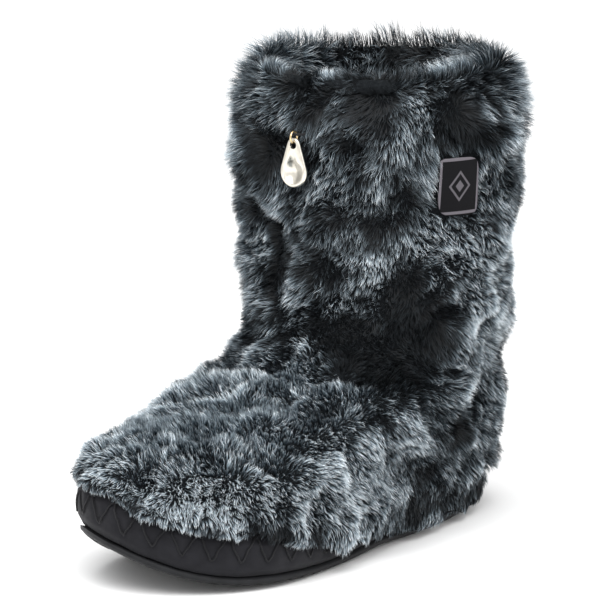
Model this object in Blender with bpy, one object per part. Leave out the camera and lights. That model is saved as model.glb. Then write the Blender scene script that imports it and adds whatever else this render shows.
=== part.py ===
"""Fur bootie slipper, left foot: outsole, rand, insole, fur upper, woven label and a hanging charm."""

import math
import random

import bmesh
import bpy
from mathutils import Vector

# Sizes in metres. X runs to the toe, Y to the outer side of the left boot, Z up, and the floor is at Z 0.
# The origin lies on the floor under the heel's centre.
sole_length = 0.256
ball_width = 0.098
heel_to_origin = 0.037
ball_along = 0.66
toe_spring = 0.015
spring_start = 0.68
spring_power = 1.6
toe_slant = 1.0
slant_start = 0.70
arch_lift = 0.0012
arch_along = 0.44
arch_reach = 0.07
outsole_thickness = 0.0045
groove_width = 0.0018
groove_depth = 0.0014
groove_pitch = 0.0092
groove_margin = 0.04
groove_run_out = 0.010
smooth_waist = (0.34, 0.54)
outsole_edge = 0.0010
rand_height = 0.0135
rand_wall = 0.0028
rand_bulge = 0.0032
insole_thickness = 0.0065
instep_height = 0.092
boot_height = 0.230
foot_width = 0.104
shaft_length = 0.148
shaft_width = 0.142
fur_wall = 0.0135
collar_wall = 0.0200
collar_depth = 0.045
skirt_thickness = 0.0045
skirt_tip = 0.6
skirt_tuft = 0.25
lock_depth = 0.0038
lock_drop = 0.0050
lock_slip = 0.45
fold_calm = 0.55
skirt_relief = 0.35
skirt_fade = 0.12
collar_tuft = 0.70
joint_gap = 0.0003
label_width = 0.0240
label_height = 0.0290
label_thickness = 0.0012
label_sink = 0.0030
label_press = 0.80
charm_sink = 0.0035
charm_press = 0.85
press_edge = 0.45
charm_width = 0.0144
charm_drop = 0.0128
charm_head_radius = 0.0034
charm_hole_radius = 0.0018
charm_thickness = 0.0016
charm_face_depth = 0.0003
ring_radius = 0.0028
ring_wire_radius = 0.0005
tab_radius = 0.0006
tab_stand_off = 0.0040
tab_half_span = 0.0032

# How finely the round pieces are divided.
around_count = 64
outer_ring_count = 42
inner_ring_count = 14
collar_arc_count = 4
lock_columns = 4
fold_points = 7
inner_smoothing = 5
inner_end_ring = 1.7

# The sole seen from above: share of the length from the heel, then the half width and the
# centre line's shift to the outer side, both as shares of the ball width.
sole_plan = [
    # along, half_width, shift
    (0.00, 0.66, 0.000),
    (0.10, 0.59, 0.000),
    (0.22, 0.49, 0.010),
    (0.42, 0.41, 0.030),
    (0.66, 0.52, -0.022),
    (0.80, 0.61, -0.034),
    (0.90, 0.67, -0.072),
    (1.00, 0.70, -0.115),
]

# The visible height of the rand, and how far the fur hangs down over it, as shares of rand_height.
rand_shape = [
    # along, rand_top, fur_overhang
    (0.00, 0.65, 0.78),
    (0.25, 0.70, 0.90),
    (0.50, 0.85, 0.85),
    (0.72, 1.22, 0.62),
    (0.80, 1.36, 0.28),
    (0.90, 1.48, 0.16),
    (1.00, 1.50, 0.12),
]

# The foot's rings, from the one above the skirt up to the instep. Front X is a share of the length
# from the origin to the toe, back X of heel_to_origin, Z of instep_height, width of foot_width.
foot_rings = [
    # front_x, front_z, back_x, back_z, half_width, roundness
    (0.980, 0.505, -1.52, 0.190, 0.590, 0.00),
    (0.960, 0.590, -1.72, 0.320, 0.605, 0.12),
    (0.910, 0.672, -1.80, 0.450, 0.620, 0.28),
    (0.785, 0.740, -1.78, 0.590, 0.620, 0.44),
    (0.600, 0.830, -1.72, 0.740, 0.625, 0.66),
    (0.440, 0.945, -1.64, 0.890, 0.625, 0.86),
]

# The shaft's rings, from the ankle to the collar. X is a share of shaft_length from the origin,
# Z of boot_height, width of shaft_width.
shaft_rings = [
    # front_x, front_z, back_x, back_z, half_width, roundness
    (0.560, 0.465, -0.392, 0.445, 0.458, 1.00),
    (0.530, 0.560, -0.392, 0.530, 0.465, 1.00),
    (0.535, 0.678, -0.400, 0.640, 0.480, 1.00),
    (0.560, 0.790, -0.416, 0.758, 0.492, 1.00),
    (0.562, 0.872, -0.422, 0.862, 0.494, 1.00),
    (0.510, 0.944, -0.390, 0.944, 0.452, 1.00),
]

# Folds of the soft fur: the ends of each are an angle round the boot in degrees, 0 at the toe and
# 90 at the outer side, and a share of the way up the outer surface. Width and depth are shares of
# fur_wall, and a negative depth is a trough.
folds = [
    # around_1, up_1, around_2, up_2, half_width, depth
    (25, 0.57, 60, 0.51, 1.10, -0.32),
    (65, 0.51, 100, 0.44, 1.25, -0.52),
    (55, 0.66, 100, 0.61, 1.00, 0.20),
    (105, 0.56, 150, 0.44, 0.80, -0.40),
    (122, 0.68, 112, 0.52, 0.65, -0.35),
    (-12, 0.72, -4, 0.60, 0.80, -0.30),
    (22, 0.98, 14, 0.84, 0.85, -0.35),
    (-70, 0.58, -30, 0.49, 0.95, -0.40),
    (-110, 0.44, -70, 0.52, 0.95, -0.45),
    (-140, 0.72, -100, 0.64, 0.90, -0.28),
    (168, 0.52, 200, 0.52, 0.90, -0.30),
    (40, 0.86, 100, 0.80, 0.90, 0.20),
    (30, 0.32, 70, 0.26, 0.90, -0.28),
    (-20, 0.36, 15, 0.42, 0.90, -0.30),
]

# A fur lock from its tip up to its root: how far its edges and its ridge stand out, as shares of
# lock_depth, and how far they slip down, as shares of lock_drop.
lock_shape = [
    # edge_out, ridge_out, edge_down, ridge_down
    (0.25, 1.00, -0.30, 0.70),
    (0.00, 0.55, 0.00, 0.30),
    (-0.35, -0.35, 0.00, 0.00),
]

# The angle round the boot and the share of the way up of each thing sewn to it.
label_place = (66, 0.80)
charm_place = (-1, 0.888)


def clear_scene():
    for obj in list(bpy.data.objects):
        bpy.data.objects.remove(obj)


def material(name, colour, roughness, metallic=0.0):
    made = bpy.data.materials.new(name)
    made.use_nodes = True
    shader = made.node_tree.nodes["Principled BSDF"]
    shader.inputs["Base Color"].default_value = (*colour, 1.0)
    shader.inputs["Roughness"].default_value = roughness
    shader.inputs["Metallic"].default_value = metallic
    return made


def add_object(name, mesh_builder, finish, sharp_angle=None):
    mesh = bpy.data.meshes.new(name)
    bmesh.ops.recalc_face_normals(mesh_builder, faces=mesh_builder.faces)
    mesh_builder.to_mesh(mesh)
    mesh_builder.free()
    mesh.shade_smooth()
    if sharp_angle is not None:
        mesh.set_sharp_from_angle(angle=sharp_angle)
    mesh.materials.append(finish)
    obj = bpy.data.objects.new(name, mesh)
    bpy.context.scene.collection.objects.link(obj)
    return obj


def curve_value(rows, column, position):
    """A smooth value at a position between a table's rows, whose first column is the position."""
    position = min(max(position, rows[0][0]), rows[-1][0])
    k = max(i for i in range(len(rows) - 1) if rows[i][0] <= position)
    low, high = rows[k], rows[k + 1]
    before, after = rows[max(k - 1, 0)], rows[min(k + 2, len(rows) - 1)]
    span = high[0] - low[0]
    low_slope = (high[column] - before[column]) / (high[0] - before[0])
    high_slope = (after[column] - low[column]) / (after[0] - low[0])
    t = (position - low[0]) / span
    return (
        low[column] * (2 * t**3 - 3 * t**2 + 1)
        + low_slope * span * (t**3 - 2 * t**2 + t)
        + high[column] * (3 * t**2 - 2 * t**3)
        + high_slope * span * (t**3 - t**2)
    )


def along_share(angle):
    """The share of a ring's length from its back end, at an angle from its front end."""
    return (1 + math.cos(angle)) / 2


def length_share(point):
    """The share of the sole's length, from the heel, that a point lies at."""
    return (point.x + heel_to_origin) / sole_length


def spring_at(along):
    return toe_spring * max(0.0, (along - spring_start) / (1 - spring_start)) ** spring_power


def slanted(point):
    """The length share at which a point takes its toe spring: the big toe's side lifts first."""
    along = length_share(point)
    t = min(max((along - slant_start) / (1 - slant_start), 0.0), 1.0)
    return along - toe_slant * t * t * (3 - 2 * t) * point.y / sole_length


def sole_bottom(point):
    """The outsole's underside below a point: flat at heel and ball, lifted at arch and toe."""
    arch = arch_lift * math.exp(-(((length_share(point) - arch_along) / arch_reach) ** 2))
    return spring_at(slanted(point)) + arch


def sole_top(point):
    return sole_bottom(point) + outsole_thickness


def rand_top(point):
    share = curve_value(rand_shape, 1, length_share(point))
    return sole_top(point) + joint_gap + rand_height * share


def skirt_height(point):
    return rand_top(point) - rand_height * curve_value(rand_shape, 2, length_share(point))


def sole_edge(angle, offset=0.0):
    """A point on the sole's outline seen from above, moved out by offset."""

    def outline(turn):
        along = along_share(turn)
        half = ball_width * curve_value(sole_plan, 1, along)
        shift = ball_width * curve_value(sole_plan, 2, along)
        return Vector((sole_length * along - heel_to_origin, shift + half * math.sin(turn), 0.0))

    step = 0.01
    tangent = outline(angle + step) - outline(angle - step)
    outward = Vector((tangent.y, -tangent.x, 0.0)).normalized()
    return outline(angle) + outward * offset


def ring_angles():
    return [2 * math.pi * i / around_count for i in range(around_count)]


def closed_grid(rings, closed_up=False):
    """A mesh of quads through rings of points; closed_up joins the last ring to the first."""
    made = bmesh.new()
    rows = [[made.verts.new(point) for point in ring] for ring in rings]
    last = len(rows) if closed_up else len(rows) - 1
    for j in range(last):
        low, high = rows[j], rows[(j + 1) % len(rows)]
        for i in range(len(low)):
            k = (i + 1) % len(low)
            made.faces.new((low[i], low[k], high[k], high[i]))
    return made, rows


def cap_across(made, ring):
    """Closes a ring with strips from its outer to its inner side, so that the cap can bend along X."""
    half = len(ring) // 2
    made.faces.new((ring[0], ring[1], ring[-1]))
    for i in range(1, half - 1):
        made.faces.new((ring[i], ring[i + 1], ring[-i - 1], ring[-i]))
    made.faces.new((ring[half - 1], ring[half], ring[half + 1]))


def slab(section, bottom, top):
    """A plate with the sole's outline. The section's rows are an offset and a share of its height."""
    rings = []
    for offset, share in section:
        ring = []
        for angle in ring_angles():
            point = sole_edge(angle, offset)
            point.z = bottom(point) * (1 - share) + top(point) * share
            ring.append(point)
        rings.append(ring)
    made, rows = closed_grid(rings)
    cap_across(made, rows[0])
    cap_across(made, rows[-1])
    return made


def helper_object(name, mesh_builder):
    """A cutter, which is left out of the render and of the part."""
    mesh = bpy.data.meshes.new(name)
    bmesh.ops.recalc_face_normals(mesh_builder, faces=mesh_builder.faces)
    mesh_builder.to_mesh(mesh)
    mesh_builder.free()
    obj = bpy.data.objects.new(name, mesh)
    obj.hide_render = True
    obj.display_type = "WIRE"
    bpy.context.scene.collection.objects.link(obj)
    return obj


def cut(obj, cutter):
    modifier = obj.modifiers.new("cut_" + cutter.name, "BOOLEAN")
    modifier.operation = "DIFFERENCE"
    modifier.object = cutter


def tread_grooves():
    """Bars across the underside, each following the toe spring's slope."""
    made = bmesh.new()
    count = int(sole_length * (1 - 2 * groove_margin) / groove_pitch)
    for n in range(count):
        x = sole_length * groove_margin + groove_pitch * (n + 0.5) - heel_to_origin
        along = (x + heel_to_origin) / sole_length
        if smooth_waist[0] < along < smooth_waist[1]:
            continue
        turn = math.acos(2 * along - 1)
        outer, inner = sole_edge(turn), sole_edge(-turn)
        step = Vector((0.01 * sole_length, 0.0, 0.0))
        corners = []
        for edge, other in ((inner, outer), (outer, inner)):
            slope = math.atan2(sole_bottom(edge + step) - sole_bottom(edge - step), 2 * step.x)
            up = Vector((-math.sin(slope), 0.0, math.cos(slope)))
            ahead = Vector((math.cos(slope), 0.0, math.sin(slope)))
            tilt = (sole_bottom(edge) - sole_bottom(other)) / (edge.y - other.y)
            foot = Vector((x, edge.y + math.copysign(groove_run_out, edge.y - other.y), 0.0))
            foot.z = sole_bottom(edge) + tilt * (foot.y - edge.y)
            for forward, height in ((-0.5, -2.0), (0.5, -2.0), (0.5, 1.0), (-0.5, 1.0)):
                corner = foot + ahead * (groove_width * forward) + up * (groove_depth * height)
                corners.append(made.verts.new(corner))
        left, right = corners[:4], corners[4:]
        made.faces.new(left)
        made.faces.new(right)
        for i in range(4):
            k = (i + 1) % 4
            made.faces.new((left[i], left[k], right[k], right[i]))
    return helper_object("tread_grooves", made)


def build_outsole(finish):
    side = [
        # offset as a share of outsole_edge, share of the thickness
        (-3.0, 0.00),
        (-0.6, 0.14),
        (1.0, 0.38),
        (1.0, 0.74),
        (-1.0, 0.90),
        (-2.2, 1.00),
    ]
    section = [(share * outsole_edge, height) for share, height in side]
    outsole = add_object("outsole", slab(section, sole_bottom, sole_top), finish, math.radians(40))
    cut(outsole, tread_grooves())


def build_rand(finish):
    """The soft strip round the sole that the fur is sewn to: it bulges and turns in at its top."""
    outer = [
        # offset as a share of rand_bulge, share of the height
        (0.0, 0.00),
        (0.8, 0.18),
        (1.0, 0.45),
        (0.7, 0.75),
        (-0.5, 1.00),
    ]
    section = [(share * rand_bulge, height) for share, height in outer]
    section += [(offset - rand_wall, height) for offset, height in reversed(section)]
    rings = []
    for offset, height in section:
        ring = []
        for angle in ring_angles():
            point = sole_edge(angle, offset - joint_gap)
            foot = sole_top(point) + joint_gap
            point.z = foot + (rand_top(point) - foot) * height
            ring.append(point)
        rings.append(ring)
    made, _ = closed_grid(rings, closed_up=True)
    add_object("rand", made, finish, math.radians(50))


def build_insole(finish):
    inset = rand_wall + 2.5 * joint_gap
    side = [
        # inset as a share of the thickness, share of the height
        (0.0, 0.00),
        (0.0, 0.60),
        (0.2, 0.92),
        (0.6, 1.00),
    ]
    section = [(-inset - share * insole_thickness, height) for share, height in side]

    def bottom(point):
        return sole_top(point) + joint_gap

    def top(point):
        return bottom(point) + insole_thickness

    add_object("insole", slab(section, bottom, top), finish, math.radians(40))


def ring_point(ring, angle, x_front, x_back, z_scale, width):
    """A point of a table's ring. Flat rings follow the sole's outline, and round ones an ellipse."""
    front_x, front_z, back_x, back_z, half_width, roundness = ring
    along = along_share(angle)
    sole_half = curve_value(sole_plan, 1, along) / curve_value(sole_plan, 1, ball_along)
    half = width * half_width * (sole_half * (1 - roundness) + roundness)
    shift = ball_width * curve_value(sole_plan, 2, along) * (1 - roundness)
    front = Vector((front_x * x_front, 0.0, front_z * z_scale))
    back = Vector((back_x * x_back, 0.0, back_z * z_scale))
    point = back.lerp(front, along)
    point.y = shift + half * math.sin(angle)
    if roundness < 1:
        point.z += (spring_at(slanted(point)) - spring_at(length_share(point))) * (1 - roundness)
    return point


def control_points(angle):
    """The points at one angle that the fur's outer surface passes through, from skirt to collar."""
    skirt = sole_edge(angle, rand_bulge + joint_gap + skirt_thickness)
    skirt.z = skirt_height(skirt) + (1 - skirt_tip) * skirt_thickness
    reach = sole_length - heel_to_origin
    points = [skirt]
    for ring in foot_rings:
        points.append(ring_point(ring, angle, reach, heel_to_origin, instep_height, foot_width))
    for ring in shaft_rings:
        points.append(
            ring_point(ring, angle, shaft_length, shaft_length, boot_height, shaft_width)
        )
    return points


def base_point(angle, up):
    """The plain outer surface at an angle and a share of the way up, with no fold or lock."""
    points = control_points(angle)
    position = min(max(up, 0.0), 1.0) * (len(points) - 1)
    k = min(int(position), len(points) - 2)
    t = position - k
    low, high = points[k], points[k + 1]
    before = points[k - 1] if k else low * 2 - high
    after = points[k + 2] if k + 2 < len(points) else high * 2 - low
    return 0.5 * (
        2 * low
        + (high - before) * t
        + (2 * before - 5 * low + 4 * high - after) * t**2
        + (3 * low - before - 3 * high + after) * t**3
    )


def base_frame(angle, up):
    """The plain surface's point, its outward normal and its way up, as long as one outer ring's step."""
    step = 0.01
    point = base_point(angle, up)
    sideways = base_point(angle + step, up) - base_point(angle - step, up)
    upward = base_point(angle, up + step) - base_point(angle, up - step)
    if upward.length < 1e-9:
        upward = Vector((0.0, 0.0, 1.0))
    normal = sideways.cross(upward).normalized()
    span = min(up + step, 1.0) - max(up - step, 0.0)
    return point, normal, upward / (span * (outer_ring_count - 1))


def fold_lines():
    """Each fold as a few points of the plain surface, with its width and depth."""
    lines = []
    for around_1, up_1, around_2, up_2, half_width, depth in folds:
        points = []
        for n in range(fold_points):
            t = n / (fold_points - 1)
            angle = math.radians(around_1 + (around_2 - around_1) * t)
            points.append(base_point(angle, up_1 + (up_2 - up_1) * t))
        lines.append((points, half_width * fur_wall, depth * fur_wall))
    return lines


def fold_height(point, lines):
    height = 0.0
    for points, half_width, depth in lines:
        nearest = min((point - other).length for other in points)
        height += depth * math.exp(-((nearest / half_width) ** 2))
    return height


def pressed_places():
    """Where the label and the charm press the pile flat: centre, radius and how deep."""
    label_point = base_point(math.radians(label_place[0]), label_place[1])
    charm_point = base_point(math.radians(charm_place[0]), charm_place[1])
    charm_point.z -= (charm_drop + charm_width / 2) / 2
    return [
        (label_point, label_press * (label_width + label_height) / 2, label_sink),
        (charm_point, charm_press * (charm_drop + charm_width / 2), charm_sink),
    ]


def pressing(point, places):
    """How much of the relief is pressed flat at a point, from 0 to 1, and the depth it sinks."""
    share, sink = 0.0, 0.0
    for centre, radius, depth in places:
        beyond = ((point - centre).length - radius) / (press_edge * radius)
        edge = min(max(beyond, 0.0), 1.0)
        here = 1 - edge * edge * (3 - 2 * edge)
        share = max(share, here)
        sink = max(sink, here * depth)
    return share, sink


def lock_relief(column, ring, lengths):
    """How far a grid point stands out for the fur locks, and how far it slips down the boot."""
    band, phase = divmod(ring, len(lock_shape))
    moved = column + lock_columns // 2 * (band % 2)
    half = lock_columns / 2
    ridge = 1 - abs(moved % lock_columns - half) / half
    lock = lengths[band][moved // lock_columns % len(lengths[band])]
    edge_out, ridge_out, edge_down, ridge_down = lock_shape[phase]
    out = edge_out + (ridge_out - edge_out) * ridge
    down = edge_down + (ridge_down - edge_down) * ridge
    return lock_depth * lock * out, lock_drop * lock * down


def surface_point(angle, up, lines, places):
    """The folded surface, pressed where the label and charm lie, with its normal."""
    point, normal, upward = base_frame(angle, up)
    share, sink = pressing(point, places)
    fold = fold_height(point, lines) * (1 - share)
    calm = max(share, min(1.0, abs(fold) / (fold_calm * fur_wall)))
    return point + normal * (fold - sink), normal, upward, calm


def relaxed(ring, passes):
    """A ring with each point drawn to its two neighbours, so that an inward offset can't cross itself."""
    for _ in range(passes):
        count = len(ring)
        ring = [(ring[i - 1] + ring[i] * 2 + ring[(i + 1) % count]) * 0.25 for i in range(count)]
    return ring


def build_upper(finish):
    """The fur upper as one hollow wall: outer rings, rolled collar, inner rings and underside."""
    rng = random.Random(4)
    lines, places = fold_lines(), pressed_places()
    bands = outer_ring_count // len(lock_shape) + 1
    lengths = [
        [rng.uniform(0.6, 1.15) for _ in range(around_count // lock_columns)]
        for _ in range(bands)
    ]
    angles = ring_angles()
    rings = []
    for j in range(outer_ring_count):
        up = j / (outer_ring_count - 1)
        ring = []
        for i, angle in enumerate(angles):
            point, normal, upward, calm = surface_point(angle, up, lines, places)
            out, down = lock_relief(i, j, lengths)
            fade = (1 - calm) * min(1.0, skirt_relief + up / skirt_fade)
            down = min(down * fade / upward.length, lock_slip)
            ring.append(point + normal * (out * fade) - upward * down)
        rings.append(ring)

    def wall_at(point):
        below = shaft_rings[-1][1] * boot_height - point.z
        roll = min(max(1 - below / collar_depth, 0.0), 1.0)
        return fur_wall + (collar_wall - fur_wall) * roll * roll * (3 - 2 * roll)

    for n in range(1, collar_arc_count + 1):
        turn = math.pi * n / (collar_arc_count + 1)
        ring = []
        for i, angle in enumerate(angles):
            point, normal, _ = base_frame(angle, 1.0)
            radius = collar_wall / 2
            centre = point - normal * radius
            tuft = collar_tuft * lock_depth * (i % 2) * math.sin(turn)
            out = normal * (math.cos(turn) * radius)
            ring.append(centre + out + Vector((0.0, 0.0, math.sin(turn) * radius + tuft)))
        rings.append(ring)

    inner_end = inner_end_ring / (len(foot_rings) + len(shaft_rings))
    for j in range(inner_ring_count):
        up = 1 - j / (inner_ring_count - 1) * (1 - inner_end)
        ring = []
        for angle in angles:
            point, normal, _ = base_frame(angle, up)
            ring.append(point - normal * wall_at(point))
        rings.append(relaxed(ring, inner_smoothing if j else 0))

    underside = [
        # offset from the sole's edge, height above the rand's top
        (-rand_wall - 0.5 * rand_bulge - joint_gap, joint_gap, 0.0),
        (rand_bulge + joint_gap, joint_gap, 0.0),
        (rand_bulge + joint_gap, 0.0, 1.0),
        (rand_bulge + joint_gap + skirt_tip * skirt_thickness, 0.0, 1.0),
    ]
    for offset, lift, hang in underside:
        ring = []
        for i, angle in enumerate(angles):
            point = sole_edge(angle, offset)
            seat = rand_top(point) + lift
            lower = skirt_height(point) - skirt_tuft * lock_drop * (i % 2)
            point.z = seat * (1 - hang) + lower * hang
            ring.append(point)
        rings.append(ring)
    made, _ = closed_grid(rings, closed_up=True)
    add_object("upper", made, finish)


def build_label(finish):
    """A woven patch that lies on the pressed pile at the outer side."""
    lines, places = fold_lines(), pressed_places()
    centre_angle, centre_up = math.radians(label_place[0]), label_place[1]
    step = 0.01
    east = base_point(centre_angle - step, centre_up) - base_point(centre_angle + step, centre_up)
    north = base_point(centre_angle, centre_up + step) - base_point(centre_angle, centre_up - step)
    angle_span = 2 * step * label_width / east.length
    up_span = 2 * step * label_height / north.length
    across, rise = 10, 10
    made = bmesh.new()
    layers = []
    for lift in (joint_gap, joint_gap + label_thickness):
        rows = []
        for j in range(rise + 1):
            row = []
            for i in range(across + 1):
                u, v = i / across - 0.5, j / rise - 0.5
                corner = max(0.0, math.hypot(abs(u) * 2, abs(v) * 2) - 1.18) * 0.5
                u, v = u * (1 - corner), v * (1 - corner)
                angle, up = centre_angle - u * angle_span, centre_up + v * up_span
                point, normal, _, _ = surface_point(angle, up, lines, places)
                row.append(made.verts.new(point + normal * (lift + joint_gap)))
            rows.append(row)
        layers.append(rows)
    low, high = layers
    for j in range(rise):
        for i in range(across):
            made.faces.new((low[j][i], low[j][i + 1], low[j + 1][i + 1], low[j + 1][i]))
            made.faces.new((high[j][i], high[j + 1][i], high[j + 1][i + 1], high[j][i + 1]))
    rim = [(0, i) for i in range(across)] + [(j, across) for j in range(rise)]
    rim += [(rise, i) for i in range(across, 0, -1)] + [(j, 0) for j in range(rise, 0, -1)]
    for n, (j, i) in enumerate(rim):
        m, k = rim[(n + 1) % len(rim)]
        made.faces.new((low[j][i], high[j][i], high[m][k], low[m][k]))
    add_object("label", made, finish, math.radians(50))


def charm_frame():
    """Where the charm hangs: the hinge point, the way out from the fur and the way along the hinge."""
    lines, places = fold_lines(), pressed_places()
    angle, up = math.radians(charm_place[0]), charm_place[1]
    point, normal, _, _ = surface_point(angle, up, lines, places)
    outward = Vector((normal.x, normal.y, 0.0)).normalized()
    sideways = Vector((0.0, 0.0, 1.0)).cross(outward)
    return point + outward * tab_stand_off, outward, sideways


def tube(points, radius, count, closed):
    """A round rod through points, all in one plane, with flat ends unless it is closed."""
    made = bmesh.new()
    plane = (points[1] - points[0]).cross(points[2] - points[1]).normalized()
    rings = []
    total = len(points)
    for n, point in enumerate(points):
        before = points[(n - 1) % total] if closed or n else point
        after = points[(n + 1) % total] if closed or n < total - 1 else point
        ahead = (after - before).normalized()
        side = ahead.cross(plane)
        ring = []
        for i in range(count):
            turn = 2 * math.pi * i / count
            offset = side * math.cos(turn) + plane * math.sin(turn)
            ring.append(made.verts.new(point + offset * radius))
        rings.append(ring)
    for n in range(total if closed else total - 1):
        low, high = rings[n], rings[(n + 1) % total]
        for i in range(count):
            k = (i + 1) % count
            made.faces.new((low[i], low[k], high[k], high[i]))
    if not closed:
        made.faces.new(rings[0])
        made.faces.new(rings[-1])
    return made


def build_charm_tab(finish):
    """A sewn thread bar whose two feet stand on the pile."""
    hinge, outward, sideways = charm_frame()
    bend = tab_stand_off * 0.35
    foot = tab_stand_off - joint_gap * 2
    path = [
        # along the bar, in from the hinge
        (-tab_half_span - 0.4 * bend, foot),
        (-tab_half_span, bend),
        (-tab_half_span + bend, 0.0),
        (0.0, 0.0),
        (tab_half_span - bend, 0.0),
        (tab_half_span, bend),
        (tab_half_span + 0.4 * bend, foot),
    ]
    points = [hinge + sideways * x - outward * inward for x, inward in path]
    add_object("charm_tab", tube(points, tab_radius, 8, False), finish, math.radians(50))


def ring_centre():
    hinge, _, _ = charm_frame()
    lift = tab_radius + joint_gap + ring_wire_radius
    return hinge + Vector((0.0, 0.0, lift - ring_radius))


def build_charm_ring(finish):
    """The jump ring, which stands in the plane of the way out and hangs on the thread bar."""
    _, outward, _ = charm_frame()
    centre = ring_centre()
    points = []
    for n in range(20):
        turn = 2 * math.pi * n / 20
        up = Vector((0.0, 0.0, math.cos(turn) * ring_radius))
        points.append(centre + up + outward * (math.sin(turn) * ring_radius))
    add_object("charm_ring", tube(points, ring_wire_radius, 8, True), finish)


def charm_outline():
    """The teardrop from the front: points across and up from the hole's centre, right to left."""
    body_radius = charm_width / 2
    lean = math.asin((body_radius - charm_head_radius) / charm_drop)
    points = []
    for n in range(9):
        turn = lean + (math.pi - 2 * lean) * n / 8
        points.append((math.cos(turn) * charm_head_radius, math.sin(turn) * charm_head_radius))
    for n in range(19):
        turn = math.pi - lean + (math.pi + 2 * lean) * n / 18
        across, up = math.cos(turn) * body_radius, math.sin(turn) * body_radius
        points.append((across, up - charm_drop))
    return points


def disc_cutter(name, place, outline, front, back):
    """A flat cutter: an outline across and up, from its front to its back depth."""
    made = bmesh.new()
    layers = [[made.verts.new(place(x, z, depth)) for x, z in outline] for depth in (front, back)]
    made.faces.new(layers[0])
    made.faces.new(layers[1])
    for i in range(len(outline)):
        k = (i + 1) % len(outline)
        made.faces.new((layers[0][i], layers[0][k], layers[1][k], layers[1][i]))
    return helper_object(name, made)


def build_charm(finish):
    """The teardrop plate, hanging on the ring through its hole, with a plain oval sunk in its face."""
    _, outward, sideways = charm_frame()
    wire = ring_centre().z - ring_radius
    centre = ring_centre()
    centre.z = wire + ring_wire_radius + 1.5 * joint_gap - charm_hole_radius

    def place(x, z, depth):
        return centre + sideways * x + Vector((0.0, 0.0, z)) + outward * depth

    half, edge = charm_thickness / 2, charm_thickness * 0.25
    middle = -charm_drop / 2
    rings = []
    for depth, inset in ((-half, edge), (-half + edge, 0.0), (half - edge, 0.0), (half, edge)):
        shrink = 1 - inset / (charm_width / 2)
        ring = [
            place(x * shrink, middle + (z - middle) * shrink, depth) for x, z in charm_outline()
        ]
        rings.append(ring)
    made, rows = closed_grid(rings)
    made.faces.new(rows[0])
    made.faces.new(rows[-1])
    charm = add_object("charm", made, finish, math.radians(35))

    def oval(width, height, middle_z):
        turns = [2 * math.pi * n / 20 for n in range(20)]
        return [(math.cos(t) * width / 2, middle_z + math.sin(t) * height / 2) for t in turns]

    hole = oval(2 * charm_hole_radius, 2 * charm_hole_radius, 0.0)
    cut(charm, disc_cutter("charm_hole", place, hole, charm_thickness, -charm_thickness))
    face = oval(charm_width * 0.66, charm_width * 0.78, -charm_drop)
    cut(charm, disc_cutter("charm_face", place, face, charm_thickness, half - charm_face_depth))


def main():
    clear_scene()
    rubber = material("outsole_rubber", (0.030, 0.029, 0.032), 0.75)
    suede = material("rand_suede", (0.045, 0.043, 0.048), 0.85)
    fur = material("charcoal_fur", (0.110, 0.120, 0.130), 0.9)
    fleece = material("insole_fleece", (0.060, 0.062, 0.068), 0.95)
    woven = material("woven_label", (0.030, 0.028, 0.032), 0.8)
    thread = material("black_thread", (0.015, 0.015, 0.016), 0.8)
    metal = material("pale_metal", (0.86, 0.83, 0.76), 0.25, 1.0)
    build_outsole(rubber)
    build_rand(suede)
    build_insole(fleece)
    build_upper(fur)
    build_label(woven)
    build_charm_tab(thread)
    build_charm_ring(metal)
    build_charm(metal)


main()
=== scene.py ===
import math

import bmesh
import bpy
import numpy as np
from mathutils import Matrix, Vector, noise
from mathutils.bvhtree import BVHTree
from mathutils.kdtree import KDTree


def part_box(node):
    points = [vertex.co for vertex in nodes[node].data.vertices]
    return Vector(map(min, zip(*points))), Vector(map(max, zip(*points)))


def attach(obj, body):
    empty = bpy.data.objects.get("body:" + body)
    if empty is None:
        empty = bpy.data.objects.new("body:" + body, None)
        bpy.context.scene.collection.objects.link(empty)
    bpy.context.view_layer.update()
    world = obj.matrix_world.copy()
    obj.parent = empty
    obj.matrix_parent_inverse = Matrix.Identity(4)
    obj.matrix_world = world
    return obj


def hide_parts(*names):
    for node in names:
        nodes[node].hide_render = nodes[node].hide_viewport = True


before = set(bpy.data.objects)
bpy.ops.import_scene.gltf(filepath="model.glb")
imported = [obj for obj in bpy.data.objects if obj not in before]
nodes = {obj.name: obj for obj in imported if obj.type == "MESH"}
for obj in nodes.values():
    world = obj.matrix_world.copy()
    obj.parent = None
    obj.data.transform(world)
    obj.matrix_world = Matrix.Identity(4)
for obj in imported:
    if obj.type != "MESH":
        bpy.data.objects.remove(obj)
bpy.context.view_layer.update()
scene = bpy.context.scene
rng = np.random.default_rng(17)
noise.seed_set(10)
print("frame loaded:", sorted(nodes))


def linkNew(name, data):
    piece = bpy.data.objects.new(name, data)
    scene.collection.objects.link(piece)
    return piece


def mergedCopy(name, node):
    mesh = nodes[node].data.copy()
    mesh.materials.clear()
    bm = bmesh.new()
    bm.from_mesh(mesh)
    bmesh.ops.remove_doubles(bm, verts=bm.verts, dist=1e-5)
    bm.to_mesh(mesh)
    bm.free()
    mesh.name = name
    return linkNew(name, mesh)


def applyModifiers(piece):
    graph = bpy.context.evaluated_depsgraph_get()
    done = bpy.data.meshes.new_from_object(piece.evaluated_get(graph))
    old = piece.data
    piece.modifiers.clear()
    piece.data = done
    bpy.data.meshes.remove(old)


def subdivide(piece, kind):
    finer = piece.modifiers.new("finer", "SUBSURF")
    finer.subdivision_type = kind
    finer.levels = 2
    finer.render_levels = 2
    applyModifiers(piece)


def smoothShade(mesh):
    mesh.polygons.foreach_set("use_smooth", np.ones(len(mesh.polygons), bool))
    mesh.update()


def pointsOf(mesh):
    places = np.zeros(len(mesh.vertices) * 3)
    mesh.vertices.foreach_get("co", places)
    return places.reshape(-1, 3)


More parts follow.
